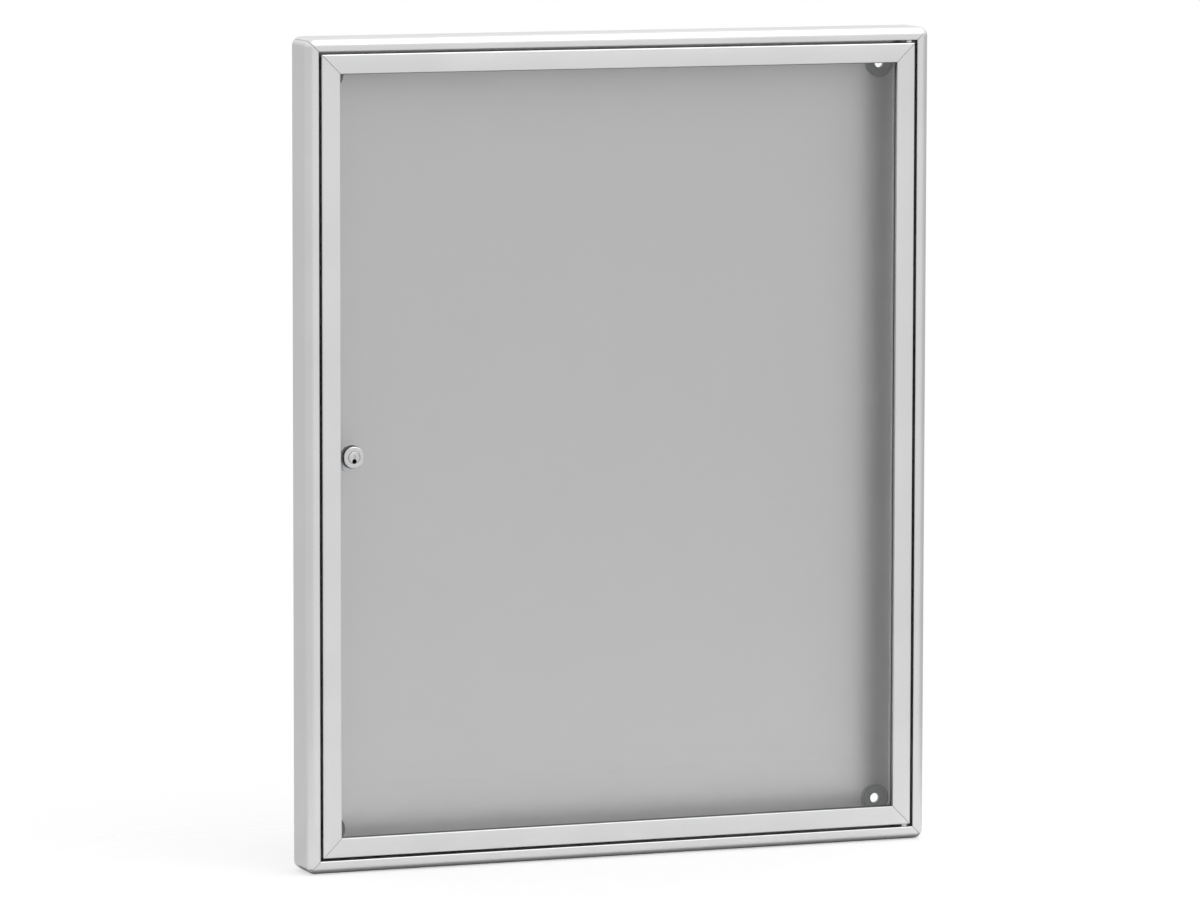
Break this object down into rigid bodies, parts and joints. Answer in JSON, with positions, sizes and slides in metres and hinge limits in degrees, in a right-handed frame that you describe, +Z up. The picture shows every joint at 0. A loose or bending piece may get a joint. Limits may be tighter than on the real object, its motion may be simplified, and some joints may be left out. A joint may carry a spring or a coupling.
{
  "type": "lockable notice board",
  "caption": "Wall-mounted notice board: a shallow mitred metal case with a sheet metal back, closed by a glazed door that swings on pivots at its right and has a cam lock at its left.",
  "frame": {"origin": "middle of the board on the wall plane, which its rear faces rest on", "axes": "+X to the right as seen from the front, -Y out of the front, +Z up"},
  "size_m": [0.8, 0.055, 1],
  "materials": {
    "anodised_aluminium": "natural satin anodised extrusion",
    "cast_aluminium": "die cast, as cast",
    "coated_sheet": "grey coil-coated steel sheet, satin",
    "grey_plastic": "moulded or extruded, matt",
    "black_rubber": "extruded",
    "clear_glass": "clear toughened sheet",
    "chrome": "bright chrome plated",
    "zinc_steel": "bright zinc plated",
    "black_plastic": "extruded or moulded, satin",
    "white_nylon": "moulded, satin"
  },
  "bodies": {
    "case": {"case_profile_top": "anodised_aluminium", "case_profile_right": "anodised_aluminium", "case_profile_bottom": "anodised_aluminium", "case_profile_left": "anodised_aluminium", "case_cleat_upper_left": "cast_aluminium", "case_cleat_upper_right": "cast_aluminium", "case_cleat_lower_right": "cast_aluminium", "case_cleat_lower_left": "cast_aluminium", "back_panel": "coated_sheet", "wall_sleeve_upper_left": "grey_plastic", "wall_sleeve_upper_right": "grey_plastic", "wall_sleeve_lower_right": "grey_plastic", "wall_sleeve_lower_left": "grey_plastic", "door_seal_top": "black_rubber", "door_seal_right": "black_rubber", "door_seal_bottom": "black_rubber", "door_seal_left": "black_rubber", "hinge_pin_lower": "chrome", "hinge_pin_upper": "chrome", "hinge_insert_lower": "zinc_steel", "hinge_insert_upper": "zinc_steel", "lock_strike": "zinc_steel", "strike_screw_lower": "zinc_steel", "strike_screw_upper": "zinc_steel"},
    "door": {"door_rail_top": "anodised_aluminium", "door_stile_right": "anodised_aluminium", "door_rail_bottom": "anodised_aluminium", "door_stile_left": "anodised_aluminium", "door_cleat_upper_left": "cast_aluminium", "door_cleat_upper_right": "cast_aluminium", "door_cleat_lower_right": "cast_aluminium", "door_cleat_lower_left": "cast_aluminium", "glass_gasket_top": "black_rubber", "glass_gasket_right": "black_rubber", "glass_gasket_bottom": "black_rubber", "glass_gasket_left": "black_rubber", "glazing_bead_top": "grey_plastic", "glazing_bead_right": "grey_plastic", "glazing_bead_bottom": "grey_plastic", "glazing_bead_left": "grey_plastic", "hinge_bush_lower": "white_nylon", "hinge_bush_upper": "white_nylon", "door_glass": "clear_glass", "lock_housing": "chrome", "lock_front_gasket": "black_rubber", "lock_rear_washer": "black_plastic", "lock_nut": "zinc_steel"},
    "lock_rotor": {"lock_plug": "chrome", "keyway_shutter": "chrome", "lock_cam": "zinc_steel", "cam_nut": "zinc_steel"}
  },
  "joints": [
    {"name": "door_hinge", "type": "hinge", "parent": "case", "child": "door", "pos_m": [0.375, -0.0482, 0], "axis": [0, 0, 1], "range_deg": [0, 105]},
    {"name": "lock_turn", "type": "hinge", "parent": "door", "child": "lock_rotor", "pos_m": [-0.34, -0.05, 0], "axis": [0, 1, 0], "range_deg": [0, 90]}
  ]
}
